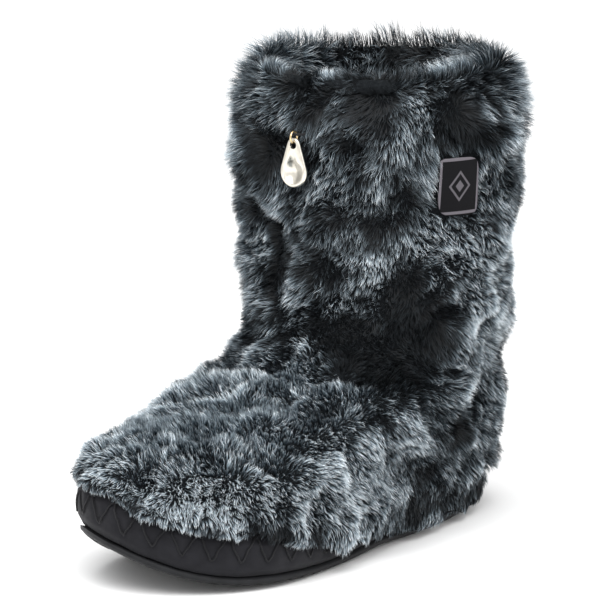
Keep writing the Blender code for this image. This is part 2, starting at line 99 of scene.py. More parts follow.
def normalsOf(mesh):
    ways = np.zeros(len(mesh.vertices) * 3)
    mesh.vertex_normals.foreach_get("vector", ways)
    return ways.reshape(-1, 3)


def trianglesOf(mesh):
    mesh.calc_loop_triangles()
    corners = np.zeros(len(mesh.loop_triangles) * 3, int)
    mesh.loop_triangles.foreach_get("vertices", corners)
    return corners.reshape(-1, 3)


def surfaceTree(mesh):
    corners = [v.co.copy() for v in mesh.vertices]
    return BVHTree.FromPolygons(corners, [tuple(f.vertices) for f in mesh.polygons])


def pointTree(points):
    tree = KDTree(len(points))
    for k, point in enumerate(points):
        tree.insert(point, k)
    tree.balance()
    return tree


def unit(a):
    return a / np.maximum(np.linalg.norm(a, axis=-1, keepdims=True), 1e-9)


def flattened(ways, faces):
    return ways - faces * np.einsum("ij,ij->i", ways, faces)[:, None]


def ease(x, low, high):
    t = np.clip((x - low) / (high - low), 0.0, 1.0)
    return t * t * (3 - 2 * t)


# Faces picked by weight, and a random point in each as shares of its three corners
def scattered(count, weights):
    pick = rng.choice(len(weights), count, p=weights / weights.sum())
    a, b = np.sqrt(rng.random(count)), rng.random(count)
    return pick, np.stack([1 - a, a * (1 - b), a * b], 1)


def atShares(field, corners, share):
    return np.einsum("ij,ijk->ik", share, field[corners])


def noiseField(places, perMetre, shift):
    moved = places * perMetre + np.array(shift)
    return np.array([noise.noise_vector(p)[:] for p in moved.tolist()])


def finished(piece, material, body, slotName, *stoodFor):
    piece.data.materials.clear()
    piece.data.materials.append(material)
    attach(piece, body)
    if stoodFor:
        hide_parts(*stoodFor)


# Materials

def startMaterial(name, roughness, specular=0.5, metallic=0.0, sheen=0.0):
    material = bpy.data.materials.new(name)
    material.use_nodes = True
    tree = material.node_tree
    tree.nodes.clear()
    end = tree.nodes.new("ShaderNodeOutputMaterial")
    shader = tree.nodes.new("ShaderNodeBsdfPrincipled")
    tree.links.new(shader.outputs["BSDF"], end.inputs["Surface"])
    shader.inputs["Roughness"].default_value = roughness
    shader.inputs["Specular IOR Level"].default_value = specular
    shader.inputs["Metallic"].default_value = metallic
    shader.inputs["Sheen Weight"].default_value = sheen
    return material, tree, shader


def objectPlace(tree):
    return tree.nodes.new("ShaderNodeTexCoord").outputs["Object"]


def ramp(tree, value, stops):
    node = tree.nodes.new("ShaderNodeValToRGB")
    bar = node.color_ramp
    while len(bar.elements) < len(stops):
        bar.elements.new(0.5)
    for element, (at, colour) in zip(bar.elements, stops):
        element.position = at
        element.color = (*colour, 1.0)
    tree.links.new(value, node.inputs["Fac"])
    return node.outputs["Color"]


def mixed(tree, share, first, second):
    node = tree.nodes.new("ShaderNodeMix")
    node.data_type = "RGBA"
    for socket, value in ((node.inputs[0], share), (node.inputs[6], first), (node.inputs[7], second)):
        if isinstance(value, bpy.types.NodeSocket):
            tree.links.new(value, socket)
        elif isinstance(value, tuple):
            socket.default_value = (*value, 1.0)
        else:
            socket.default_value = value
    return node.outputs[2]


def bumped(tree, height, distance, strength):
    node = tree.nodes.new("ShaderNodeBump")
    node.inputs["Strength"].default_value = strength
    node.inputs["Distance"].default_value = distance
    tree.links.new(height, node.inputs["Height"])
    return node.outputs["Normal"]


# Cloudy tone and fine tooth, shared by the backing, suede, rubber, thread and metal
def makeGrainGroup():
    group = bpy.data.node_groups.new("clothGrain", "ShaderNodeTree")
    for name, kind in (("Place", "NodeSocketVector"), ("Cloud Scale", "NodeSocketFloat"),
                       ("Cloud Detail", "NodeSocketFloat"), ("Tooth Scale", "NodeSocketFloat"),
                       ("Tooth Depth", "NodeSocketFloat")):
        group.interface.new_socket(name, in_out="INPUT", socket_type=kind)
    group.interface.new_socket("Cloud", in_out="OUTPUT", socket_type="NodeSocketFloat")
    group.interface.new_socket("Normal", in_out="OUTPUT", socket_type="NodeSocketVector")
    given = group.nodes.new("NodeGroupInput").outputs
    result = group.nodes.new("NodeGroupOutput").inputs
    cloud = group.nodes.new("ShaderNodeTexNoise")
    tooth = group.nodes.new("ShaderNodeTexNoise")
    tooth.inputs["Detail"].default_value = 2.0
    for node, scale in ((cloud, "Cloud Scale"), (tooth, "Tooth Scale")):
        group.links.new(given["Place"], node.inputs["Vector"])
        group.links.new(given[scale], node.inputs["Scale"])
    group.links.new(given["Cloud Detail"], cloud.inputs["Detail"])
    bump = group.nodes.new("ShaderNodeBump")
    bump.inputs["Strength"].default_value = 0.7
    group.links.new(given["Tooth Depth"], bump.inputs["Distance"])
    group.links.new(tooth.outputs["Fac"], bump.inputs["Height"])
    group.links.new(cloud.outputs["Fac"], result["Cloud"])
    group.links.new(bump.outputs["Normal"], result["Normal"])
    return group


clothGrain = makeGrainGroup()


def grained(tree, shader, cloudScale, cloudDetail, toothScale, toothDepth, stops):
    node = tree.nodes.new("ShaderNodeGroup")
    node.node_tree = clothGrain
    tree.links.new(objectPlace(tree), node.inputs["Place"])
    node.inputs["Cloud Scale"].default_value = cloudScale
    node.inputs["Cloud Detail"].default_value = cloudDetail
    node.inputs["Tooth Scale"].default_value = toothScale
    node.inputs["Tooth Depth"].default_value = toothDepth
    tree.links.new(ramp(tree, node.outputs["Cloud"], stops), shader.inputs["Base Color"])
    tree.links.new(node.outputs["Normal"], shader.inputs["Normal"])


def uvParts(tree, name):
    node = tree.nodes.new("ShaderNodeUVMap")
    node.uv_map = name
    split = tree.nodes.new("ShaderNodeSeparateXYZ")
    tree.links.new(node.outputs["UV"], split.inputs[0])
    return split.outputs["X"], split.outputs["Y"]


def maths(tree, operation, first, second=0.0, third=0.0):
    node = tree.nodes.new("ShaderNodeMath")
    node.operation = operation
    for socket, value in zip(node.inputs, (first, second, third)):
        if isinstance(value, bpy.types.NodeSocket):
            tree.links.new(value, socket)
        else:
            socket.default_value = value
    return node.outputs[0]


# In a strand's own UV, u runs from root to tip and v is how light the strand is. Each colour stands
# after its place along the strand, and a light strand is frosted further down
furInk = {
    "darkStrand": [
        (0.0, (0.002, 0.0025, 0.003)),
        (0.60, (0.0045, 0.006, 0.0075)),
        (1.0, (0.017, 0.024, 0.030)),
    ],
    "lightStrand": [
        (0.0, (0.004, 0.005, 0.006)),
        (0.40, (0.030, 0.038, 0.045)),
        (0.70, (0.195, 0.255, 0.300)),
        (0.90, (0.63, 0.72, 0.78)),
        (1.0, (0.87, 0.93, 0.97)),
    ],
    "frostReach": 0.44,
    "roughness": 0.60,
}


def makeFurMaterial():
    material, tree, shader = startMaterial("fur", roughness=furInk["roughness"], specular=0.30)
    along, light = uvParts(tree, "strand")
    dark = ramp(tree, along, furInk["darkStrand"])
    frosted = maths(tree, "MULTIPLY_ADD", light, furInk["frostReach"], along)
    shifted = maths(tree, "SUBTRACT", frosted, furInk["frostReach"] / 2)
    pale = ramp(tree, shifted, furInk["lightStrand"])
    tree.links.new(mixed(tree, light, dark, pale), shader.inputs["Base Color"])
    return material


def makeBackingMaterial():
    material, tree, shader = startMaterial("furBacking", roughness=0.95, specular=0.1)
    grained(tree, shader, cloudScale=900.0, cloudDetail=3.0, toothScale=2400.0, toothDepth=0.0001,
            stops=[(0.3, (0.004, 0.005, 0.006)), (0.7, (0.012, 0.014, 0.016))])
    return material


furMaterial = makeFurMaterial()
backingMaterial = makeBackingMaterial()
print("fur materials made")


# The leather side of the fur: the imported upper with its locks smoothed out, drawn in so that the pile
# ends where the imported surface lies. A pair of numbers says where a fade starts and ends
skinPiece = {
    "voxel": 0.0036,
    "smoothings": 12,
    "pileDepth": 0.0062,
    "shortPileDepth": 0.0025,
    "skirtDepth": 0.0022,
    "skirtReach": (0.0060, 0.0170),
    "outerFacing": (-0.25, 0.15),
    "collarZ": (0.176, 0.205),
    "plushCut": 0.24,
    "plushZ": (0.150, 0.190),
    "footX": (0.080, 0.125),
    "footZ": (0.085, 0.115),
    "rimZ": (0.205, 0.222),
    "rimFront": 0.045,
    "rimFade": 0.030,
    "charmReach": (0.014, 0.026),
    "crestRise": 0.0040,
    "tuftRise": 0.0040,
    "smallCrest": 0.5,
    "wallReach": 0.03,
    "wallStart": 0.0004,
    "innerWallShare": 0.12,
    "outerWallShare": 0.48,
    "spine": [(0.190, 0.0, 0.030), (0.000, 0.0, 0.050), (0.000, 0.0, 0.230)],
    "nap": (0.42, 0.0, -1.0),
}

# Noise on the fur: how fine it is, and a shift that keeps each field apart from the others
furNoise = {
    "wide": (26.0, (3.1, 8.2, 1.7)),
    "close": (62.0, (9.4, 2.3, 5.5)),
    "curl": (165.0, (5.2, 0.7, 3.9)),
    "tone": (42.0, (1.3, 4.4, 7.9)),
    "crest": (48.0, (6.3, 1.4, 2.2)),
    "smallCrest": (95.0, (2.6, 7.1, 0.4)),
    "tuft": (75.0, (8.1, 3.3, 6.2)),
    "mottle": (120.0, (0.9, 6.6, 4.1)),
    "blotch": (62.0, (4.7, 1.9, 8.8)),
    "labelRag": (260.0, (1.0, 2.0, 3.0)),
}

# Soft folds: points, width, depth (below zero for a ridge), how far the fur parts, how much painted
# shade its strands get in the fold (below zero for painted light on a ridge)
foldLines = {
    "cuffCrease": ([(0.058, 0.034, 0.218), (0.071, 0.016, 0.221), (0.080, 0.005, 0.211),
                    (0.081, -0.003, 0.200)], 0.008, 0.0060, 1.2, 0.75),
    "frontValley": ([(0.072, -0.021, 0.141), (0.074, -0.021, 0.132), (0.073, -0.024, 0.119),
                     (0.080, -0.021, 0.107)], 0.009, 0.0055, 0.9, 0.65),
    "ankleHollow": ([(0.080, 0.026, 0.096), (0.073, 0.040, 0.089), (0.058, 0.048, 0.087),
                     (0.048, 0.050, 0.093)], 0.013, 0.0045, 0.15, 0.70),
    "heelHollow": ([(0.086, 0.058, 0.046), (0.060, 0.056, 0.035), (0.030, 0.052, 0.031),
                    (0.005, 0.050, 0.033)], 0.009, 0.0040, 0.15, 0.70),
    "vampTrough": ([(0.186, 0.028, 0.062), (0.186, 0.048, 0.056), (0.170, 0.059, 0.044)],
                   0.007, 0.0035, 0.6, 0.40),
    "backOfLabel": ([(0.060, 0.042, 0.172), (0.056, 0.049, 0.158), (0.066, 0.034, 0.148)],
                    0.009, 0.0050, 0.9, 0.70),
    "shaftRidge": ([(0.042, 0.057, 0.157), (0.033, 0.063, 0.136), (0.045, 0.059, 0.120),
                    (0.054, 0.053, 0.111)], 0.006, -0.0055, 0.5, -0.15),
    "backRidge": ([(0.028, 0.063, 0.150), (0.012, 0.066, 0.137), (0.027, 0.065, 0.130),
                   (0.022, 0.067, 0.110)], 0.006, -0.0045, 0.5, -0.15),
    "lowRidge": ([(0.035, 0.062, 0.104), (0.020, 0.056, 0.078), (0.038, 0.057, 0.072),
                  (0.055, 0.057, 0.073)], 0.007, -0.0065, 0.5, -0.15),
    "heelFlap": ([(0.097, 0.060, 0.064), (0.067, 0.058, 0.052), (0.031, 0.056, 0.046),
                  (0.014, 0.055, 0.047)], 0.007, -0.0070, 0.3, -0.20),
    "vampRidge": ([(0.142, -0.028, 0.071), (0.137, -0.008, 0.072), (0.152, 0.029, 0.070)],
                  0.009, -0.0045, 0.4, -0.25),
}

# Places where the pile falls apart like a star and shows its dark roots, its strands painted darker
# there as shade in the parting: point, reach, dark
starPartings = [
    ((0.063, 0.030, 0.214), 0.018, 0.98),
    ((0.072, -0.015, 0.219), 0.015, 0.85),
    ((0.079, -0.026, 0.181), 0.017, 0.90),
    ((0.035, 0.065, 0.204), 0.016, 0.70),
    ((0.088, 0.029, 0.088), 0.012, 0.55),
    ((0.043, 0.054, 0.100), 0.014, 0.70),
    ((0.008, 0.069, 0.125), 0.011, 0.45),
    ((0.067, -0.037, 0.124), 0.012, 0.50),
    ((0.058, 0.047, 0.116), 0.010, 0.40),
]

# Smaller ones strewn by chance, clear of those above, of each other and of the sole
spareStars = {
    "count": 34,
    "apart": 0.020,
    "lowest": 0.03,
    "outer": 0.9,
    "reach": (0.009, 0.015),
    "dark": (0.30, 0.60),
}

# Hair at a star's very middle stands up, and a darker star opens wider
starShape = {"middle": 0.005, "spread": 0.35, "darkSpread": 1.9, "depth": 0.0018}

# Where the pile is made lighter or darker as a whole: point, reach, change. The dark spots in the
# ankle hollow, the heel hollow, by the vamp trough and by the heel flap are painted shade; the light
# ones on the toe are partly painted light on its upward-facing top; the others shift the tone
shadeAndToneSpots = [
    ((0.060, 0.046, 0.098), 0.022, -1.20),
    ((0.035, 0.066, 0.200), 0.030, -0.20),
    ((0.020, 0.068, 0.122), 0.034, 0.55),
    ((0.066, 0.010, 0.185), 0.030, 0.02),
    ((0.066, 0.010, 0.140), 0.035, -0.28),
    ((0.077, -0.005, 0.100), 0.030, -0.06),
    ((0.095, 0.060, 0.040), 0.045, 0.40),
    ((0.030, 0.056, 0.035), 0.020, -0.25),
    ((0.205, 0.010, 0.050), 0.042, 0.42),
    ((0.062, 0.036, 0.130), 0.018, 0.22),
    ((0.030, 0.052, 0.018), 0.022, 0.40),
    ((0.178, 0.037, 0.058), 0.011, -0.75),
    ((0.154, 0.054, 0.054), 0.010, -0.60),
    ((0.207, -0.009, 0.058), 0.011, 0.50),
    ((0.104, 0.057, 0.060), 0.012, -0.80),
    ((0.132, 0.048, 0.066), 0.011, 0.40),
    ((0.066, -0.036, 0.139), 0.013, 0.45),
    ((0.075, 0.036, 0.196), 0.009, 0.32),
    ((0.080, 0.009, 0.194), 0.009, -0.20),
    ((0.066, 0.048, 0.182), 0.010, -0.45),
    ((0.018, 0.069, 0.148), 0.009, -0.50),
    ((0.050, 0.057, 0.123), 0.010, 0.28),
    ((-0.039, -0.015, 0.222), 0.015, -0.50),
    ((-0.002, -0.052, 0.223), 0.015, 0.30),
    ((0.104, 0.056, 0.032), 0.012, 0.35),
    ((0.068, 0.052, 0.025), 0.010, 0.35),
]


def fromLine(places, line):
    line = np.array(line)
    best = np.full(len(places), 1e9)
    offset = np.zeros_like(places)
    for a, b in zip(line[:-1], line[1:]):
        along = np.clip((places - a) @ (b - a) / ((b - a) @ (b - a)), 0.0, 1.0)
        gap = places - (a + along[:, None] * (b - a))
        far = np.linalg.norm(gap, axis=1)
        nearer = far < best
        best[nearer] = far[nearer]
        offset[nearer] = gap[nearer]
    return best, offset


def makeSkin():
    piece = mergedCopy("furBacking", "upper")
    remesh = piece.modifiers.new("evenMesh", "REMESH")
    remesh.mode = "VOXEL"
    remesh.voxel_size = skinPiece["voxel"]
    soft = piece.modifiers.new("soften", "SMOOTH")
    soft.factor = 0.5
    soft.iterations = skinPiece["smoothings"]
    applyModifiers(piece)
    triangles = piece.modifiers.new("triangles", "TRIANGULATE")
    triangles.min_vertices = 4
    applyModifiers(piece)
    smoothShade(piece.data)
    return piece


backing = makeSkin()
skinMesh = backing.data
skinAt = pointsOf(skinMesh)
skinOut = normalsOf(skinMesh)
fromSpine = unit(fromLine(skinAt, skinPiece["spine"])[1])
isOuter = ease(np.einsum("ij,ij->i", skinOut, fromSpine), *skinPiece["outerFacing"])
isLong = np.maximum(isOuter, ease(skinAt[:, 2], *skinPiece["collarZ"]))
randTree = surfaceTree(nodes["rand"].data)
toRand = np.array([randTree.find_nearest(p)[3] for p in skinAt.tolist()])
inSkirt = 1 - ease(toRand, *skinPiece["skirtReach"])
print("skin made:", len(skinAt), "points")


def strewStars():
    outer = np.flatnonzero((isOuter > spareStars["outer"]) & (skinAt[:, 2] > spareStars["lowest"]))
    found = []
    while len(found) < spareStars["count"]:
        spot = skinAt[rng.choice(outer)]
        gaps = [np.linalg.norm(spot - np.array(star[0])) for star in starPartings + found]
        if min(gaps) > spareStars["apart"]:
            found.append((tuple(spot), rng.uniform(*spareStars["reach"]), rng.uniform(*spareStars["dark"])))
    return found


# The way the hair parts, the painted shade in its folds and partings (painted light on its ridges), and how
# deep the skin is pushed in
def layFolds():
    part = np.zeros_like(skinAt)
    dark = np.zeros(len(skinAt))
    push = np.zeros(len(skinAt))
    for line, width, depth, parting, shadow in foldLines.values():
        far, offset = fromLine(skinAt, line)
        near = np.exp(-((far / width) ** 2)) * isOuter
        part += unit(flattened(offset, skinOut)) * (near * parting)[:, None]
        dark = np.maximum(dark, near * shadow) if shadow > 0 else dark + near * shadow
        push += near * depth
    for spot, reach, shadow in starPartings + strewStars():
        offset = skinAt - np.array(spot)
        far = np.linalg.norm(offset, axis=1)
        near = np.exp(-((far / reach) ** 2)) * isLong
        spread = starShape["spread"] + starShape["darkSpread"] * shadow * shadow
        opened = near * ease(far, 0.0, starShape["middle"]) * spread
        part += unit(flattened(offset, skinOut)) * opened[:, None]
        dark = np.maximum(dark, near * shadow)
        push += near * starShape["depth"]
    return part, dark, push


def clearOfCharm():
    low, high = (np.array(v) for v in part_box("charm"))
    return ease(np.linalg.norm(skinAt - (low + high) / 2, axis=1), *skinPiece["charmReach"])


# Sums the listed spots: painted shade in the hollows, painted light on the toe, and tone elsewhere
def shadeAndToneBySpot():
    tone = np.zeros(len(skinAt))
    for spot, reach, change in shadeAndToneSpots:
        far = np.linalg.norm(skinAt - np.array(spot), axis=1)
        tone += np.exp(-((far / reach) ** 2)) * change
    return tone


# How thick the fur's wall is under each point
def wallThickness():
    tree = surfaceTree(skinMesh)
    wall = np.full(len(skinAt), skinPiece["wallReach"])
    for k, (place, way) in enumerate(zip(skinAt.tolist(), skinOut.tolist())):
        start = Vector(place) - Vector(way) * skinPiece["wallStart"]
        hit = tree.ray_cast(start, -Vector(way), skinPiece["wallReach"])
        if hit[0] is not None:
            wall[k] = hit[3]
    return wall


def rootPlaces(push, plush):
    depth = skinPiece["shortPileDepth"] + isLong * (skinPiece["pileDepth"] - skinPiece["shortPileDepth"])
    depth = depth * plush * (1 - inSkirt) + skinPiece["skirtDepth"] * inSkirt
    most = wallThickness() * (skinPiece["innerWallShare"] + skinPiece["outerWallShare"] * isOuter)
    return skinAt - skinOut * np.minimum(depth + push, most)[:, None]


# The dark field is painted shade in the folds and partings, and painted light on the ridges
part, foldAndPartingShade, foldPush = layFolds()
wide = noiseField(skinAt, *furNoise["wide"])
# The crest and tuft fields lift the pile, and the lifted parts are painted lighter: painted highlight on the
# crests and tufts, painted shade in the dips
smallCrest = noiseField(skinAt, *furNoise["smallCrest"])[:, 0]
crest = noiseField(skinAt, *furNoise["crest"])[:, 0] + skinPiece["smallCrest"] * smallCrest
onFoot = ease(skinAt[:, 0], *skinPiece["footX"]) * (1 - ease(skinAt[:, 2], *skinPiece["footZ"]))
tuft = noiseField(skinAt, *furNoise["tuft"])[:, 0] * onFoot
behindRim = ease(skinPiece["rimFront"] - skinAt[:, 0], 0.0, skinPiece["rimFade"])
plush = 1 - skinPiece["plushCut"] * (1 - ease(skinAt[:, 2], *skinPiece["plushZ"]))

# What each hair is told by the skin it grows from, first ways and then measures
skinWays = {
    "nap": unit(flattened(np.tile(np.array(skinPiece["nap"]), (len(skinAt), 1)), skinOut)),
    "wide": wide,
    "close": noiseField(skinAt, *furNoise["close"]),
    "part": part,
}
skinMeasures = {
    "long": isLong,
    "dark": foldAndPartingShade,
    "tone": noiseField(skinAt, *furNoise["tone"])[:, 0],
    "crest": crest,
    "skirt": inSkirt * isOuter,
    "length": wide[:, 2],
    # spot: the listed spots' painted shade and light, and tone
    "spot": shadeAndToneBySpot(),
    "rim": ease(skinAt[:, 2], *skinPiece["rimZ"]) * behindRim,
    "plush": plush,
    "foot": onFoot,
    "tuft": tuft,
}

charmRoom = clearOfCharm()
risen = (crest * skinPiece["crestRise"] + tuft * skinPiece["tuftRise"]) * isOuter * charmRoom
rootAt = rootPlaces(foldPush * charmRoom - risen, plush)
skinMesh.vertices.foreach_set("co", rootAt.ravel())
skinMesh.update()
finished(backing, backingMaterial, "boot", "fur", "upper")
print("folds and partings laid")


# The pile: flat ribbons of two lengths of hair, gathered in small tips and wider locks
pilePiece = {
    "strands": 282000,
    "perPiece": 60000,
    "length": 0.0086,
    "shortLength": 0.0042,
    "rootWidth": 0.00021,
    "midWidth": 0.00022,
    "tipGather": 0.42,
    "tips": 34000,
    "locks": 4200,
    "underShare": 0.30,
    "gatherSpread": (0.55, 1.15),
    "leastGather": 0.3,
    "midGather": 0.42,
    "lowestMiddle": 0.0010,
    "lowestTip": 0.0008,
    # How thickly the pile grows: less on the lining and in the toe, none on the underside
    "growth": {
        "inner": 0.22,
        "outer": 0.78,
        "innerBelow": 0.4,
        "undersideZ": 0.020,
        "undersideFacing": -0.45,
        "liningZ": 0.024,
        "toeX": 0.09,
        "toeShare": 0.15,
    },
    # How far a hair leans with each thing, against how far it stands up
    "leans": {
        "nap": 0.30,
        "wide": 0.45,
        "close": 0.65,
        "curl": 0.75,
        "lock": 0.25,
        "part": 1.15,
        "labelSide": 1.3,
        "labelFall": 0.6,
        "stand": 1.95,
        "skirtFall": 1.45,
        "skirtNap": 0.6,
        "stray": 0.13,
        "rimStand": 0.8,
        "bend": 0.35,
        "bendStray": 0.20,
    },
    # What makes a hair longer or shorter, as shares of its length
    "sizes": {
        "wide": 0.30,
        "spread": (0.85, 1.12),
        "under": (0.55, 0.85),
        "label": 0.35,
        "rim": (0.1, 1.0),
        "dark": 0.18,
        "skirt": 0.30,
        "crest": 0.25,
    },
    # What makes a hair lighter or darker: its own tone and mottle, and painted shade and light in the folds,
    # partings, crests, tufts, skirt and foot
    "lights": {
        "base": 0.66,
        "tone": 0.32,
        # crest: painted highlight on the raised crests, painted shade in the dips between them
        "crest": 0.42,
        "lock": 0.08,
        "tip": 0.06,
        "mottle": 0.38,
        "stray": 0.10,
        # dark: painted shade in the folds and partings, painted light on the ridges
        "dark": 0.72,
        # skirt and footSkirtShade: painted shade where the pile hangs over the rand, deeper on the foot
        "skirt": 0.36,
        "footSkirtShade": 0.55,
        "blotchMottle": 0.6,
        "blotchFade": (0.05, 0.45),
        # foot: the foot's pile painted lighter, partly as light falling on the upward-facing vamp and toe
        "foot": 0.94,
        "footBlotch": 0.78,
        # tuft: painted highlight on the foot's raised tufts
        "tuft": 0.55,
        "contrast": 1.25,
        "under": 0.50,
        "inner": 0.75,
    },
}

# Each ribbon is turned a little by chance, wholly so where it stands straight up, and is shaded partly
# like the skin under it so that it looks round
ribbonShape = {"steep": 0.15, "turn": 1.15, "round": 0.35, "uvMargin": 0.01, "lightRange": (0.02, 0.98)}

# Hair combed away from the label, from a point beside its middle
labelComb = {"side": 0.011, "rise": 0.004, "reach": 0.020, "fade": 0.010}

# Where no hair lies: over the label, up to a ragged edge, and over the charm's plate and ring
trimRoom = {
    "labelDeep": 0.016,
    "labelSides": (-0.0105, 0.0118),
    "labelEnds": (-0.0142, 0.0132),
    "labelRag": 0.003,
    "plateEdge": 0.0005,
    "plateBack": 0.001,
    "ringHalfWidth": 0.0042,
    "ringHalfHeight": 0.0045,
    "ringUp": 0.001,
    "ringBack": 0.0005,
}


def labelFrame():
    places = pointsOf(nodes["label"].data)
    mid = places.mean(0)
    _, _, axes = np.linalg.svd(places - mid, full_matrices=False)
    face = axes[2] * np.sign(axes[2] @ (mid * np.array([1, 1, 0])))
    rise = np.array([0.0, 0.0, 1.0]) - face * face[2]
    rise = rise / np.linalg.norm(rise)
    side = np.cross(rise, face)
    return mid, face, side, rise


def nearestOf(centres, places):
    tree = pointTree(centres.tolist())
    return np.array([tree.find(p)[1] for p in places.tolist()])


def hairWanted(tris):
    growth = pilePiece["growth"]
    sides = rootAt[tris]
    area = np.linalg.norm(np.cross(sides[:, 1] - sides[:, 0], sides[:, 2] - sides[:, 0]), axis=1)
    longShare = isLong[tris].mean(1)
    isInner = longShare < growth["innerBelow"]
    front, low = sides[:, :, 0].mean(1), sides[:, :, 2].mean(1)
    down = skinOut[tris].mean(1)[:, 2] < growth["undersideFacing"]
    wanted = area * (growth["inner"] + growth["outer"] * longShare)
    wanted *= np.where((low < growth["undersideZ"]) & down, 0.0, 1.0)
    wanted *= np.where(isInner & (low < growth["liningZ"]), 0.0, 1.0)
    wanted *= np.where(isInner & (front > growth["toeX"]), growth["toeShare"], 1.0)
    return wanted


def nearLabel(spot):
    mid, _, side, rise = labelFrame()
    gap = spot - mid + side * labelComb["side"] - rise * labelComb["rise"]
    return ease(labelComb["reach"] - np.linalg.norm(gap, axis=1), 0.0, labelComb["fade"])


def hairWays(spot, up, ways, here, lockLean, byLabel):
    leans = pilePiece["leans"]
    _, _, side, rise = labelFrame()
    curl = noiseField(spot, *furNoise["curl"])
    lean = (ways["nap"] * leans["nap"] + ways["wide"] * leans["wide"] + ways["close"] * leans["close"]
            + curl * leans["curl"] + lockLean * leans["lock"] + ways["part"] * leans["part"])
    lean += (side * leans["labelSide"] - rise * leans["labelFall"]) * byLabel[:, None]
    stand = leans["stand"] - leans["skirtFall"] * here["skirt"]
    return unit(up * stand[:, None] + flattened(lean, up)
                + ways["nap"] * (leans["skirtNap"] * here["skirt"])[:, None]
                + rng.normal(size=spot.shape) * leans["stray"]
                + up * (leans["rimStand"] * here["rim"])[:, None])


def hairLengths(here, under, lock, byLabel):
    sizes = pilePiece["sizes"]
    count = len(lock)
    size = pilePiece["shortLength"] + here["long"] * (pilePiece["length"] - pilePiece["shortLength"])
    size = size * here["plush"] * (1 + sizes["wide"] * here["length"]) * rng.uniform(*sizes["spread"], count)
    size = np.where(under, size * rng.uniform(*sizes["under"], count), size) * (1 + sizes["label"] * byLabel)
    size = size * (1 + here["rim"] * rng.uniform(*sizes["rim"], pilePiece["locks"])[lock])
    size = size * (1 - sizes["dark"] * here["dark"]) * (1 - sizes["skirt"] * here["skirt"])
    return size * (1 + sizes["crest"] * here["crest"])


def hairLights(spot, here, under, lockTone, tipTone):
    lights = pilePiece["lights"]
    mottle = noiseField(spot, *furNoise["mottle"])[:, 1]
    patch = noiseField(spot, *furNoise["blotch"])[:, 2] + lights["blotchMottle"] * mottle
    blotch = ease(patch, *lights["blotchFade"])
    # The crest term here and the tuft term below paint the raised crests and tufts lighter: painted
    # highlight, with painted shade in the dips
    light = (lights["base"] + lights["tone"] * here["tone"] + lights["crest"] * here["crest"]
             + lights["lock"] * lockTone + lights["tip"] * tipTone)
    # The dark term below is painted shade in the folds and partings, and painted light on the ridges
    light += (lights["mottle"] * mottle + rng.normal(size=len(spot)) * lights["stray"]
              - here["dark"] * lights["dark"] - lights["skirt"] * here["skirt"])
    # The skirt terms are painted shade where the pile hangs over the rand, deeper on the foot
    light -= lights["footSkirtShade"] * here["skirt"] * here["foot"]
    # The foot term paints the foot's pile lighter, partly as light falling on the upward-facing vamp and toe
    light += (here["foot"] * (lights["foot"] - lights["footBlotch"] * blotch)
              + lights["tuft"] * here["tuft"] + here["spot"])
    light = 0.5 + (light - 0.5) * lights["contrast"]
    light = np.where(under, light * lights["under"], light)
    light = np.where(here["long"] < 0.5, light * lights["inner"], light)
    return np.clip(light, *ribbonShape["lightRange"])


def growStrands():
    count = pilePiece["strands"]
    tris = trianglesOf(skinMesh)
    pick, share = scattered(count, hairWanted(tris))
    corners = tris[pick]
    spot = atShares(rootAt, corners, share)
    up = unit(atShares(skinOut, corners, share))
    ways = {name: atShares(field, corners, share) for name, field in skinWays.items()}
    here = {name: atShares(field[:, None], corners, share)[:, 0] for name, field in skinMeasures.items()}
    lock = nearestOf(spot[rng.choice(count, pilePiece["locks"], replace=False)], spot)
    lockLean = unit(rng.normal(size=(pilePiece["locks"], 3)))[lock]
    lockTone = rng.normal(size=pilePiece["locks"])[lock]
    byLabel = nearLabel(spot)
    way = hairWays(spot, up, ways, here, lockLean, byLabel)
    under = rng.random(count) < pilePiece["underShare"]
    halfLength = (hairLengths(here, under, lock, byLabel) * 0.5)[:, None]
    bent = ways["nap"] * pilePiece["leans"]["bend"]
    bend = unit(way + bent + rng.normal(size=(count, 3)) * pilePiece["leans"]["bendStray"])
    middle = spot + way * halfLength
    end = middle + bend * halfLength
    tipAt = rng.choice(np.flatnonzero(~under), pilePiece["tips"], replace=False)
    mine = nearestOf(spot[tipAt], spot)
    gather = pilePiece["tipGather"] * rng.uniform(*pilePiece["gatherSpread"], count)
    gather = gather * np.clip(here["long"], pilePiece["leastGather"], 1)
    end += (end[tipAt][mine] - end) * gather[:, None]
    middle += (middle[tipAt][mine] - middle) * (gather * pilePiece["midGather"])[:, None]
    tipTone = rng.normal(size=pilePiece["tips"])[mine]
    light = hairLights(spot, here, under, lockTone, tipTone)
    end[:, 2] = np.maximum(end[:, 2], pilePiece["lowestTip"])
    middle[:, 2] = np.maximum(middle[:, 2], pilePiece["lowestMiddle"])
    return spot, middle, end, up, light


def overLabel(at):
    mid, face, side, rise = labelFrame()
    gap = at - mid
    across, upward = gap @ side, gap @ rise
    rag = noiseField(at, *furNoise["labelRag"])[:, 0] * trimRoom["labelRag"]
    left, right = trimRoom["labelSides"]
    bottom, top = trimRoom["labelEnds"]
    inside = (across > left + rag) & (across < right) & (upward > bottom) & (upward < top + rag)
    return inside & (np.abs(gap @ face) < trimRoom["labelDeep"])


def overCharm(at):
    low, high = (np.array(v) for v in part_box("charm"))
    mid, half = (low + high) / 2, (high - low) / 2 + trimRoom["plateEdge"]
    oval = ((at[:, 1] - mid[1]) / half[1]) ** 2 + ((at[:, 2] - mid[2]) / half[2]) ** 2
    onPlate = (oval < 1.0) & (at[:, 0] > low[0] - trimRoom["plateBack"])
    onRing = np.abs(at[:, 1] - mid[1]) < trimRoom["ringHalfWidth"]
    onRing &= np.abs(at[:, 2] - high[2] - trimRoom["ringUp"]) < trimRoom["ringHalfHeight"]
    return onPlate | (onRing & (at[:, 0] > low[0] - trimRoom["ringBack"]))


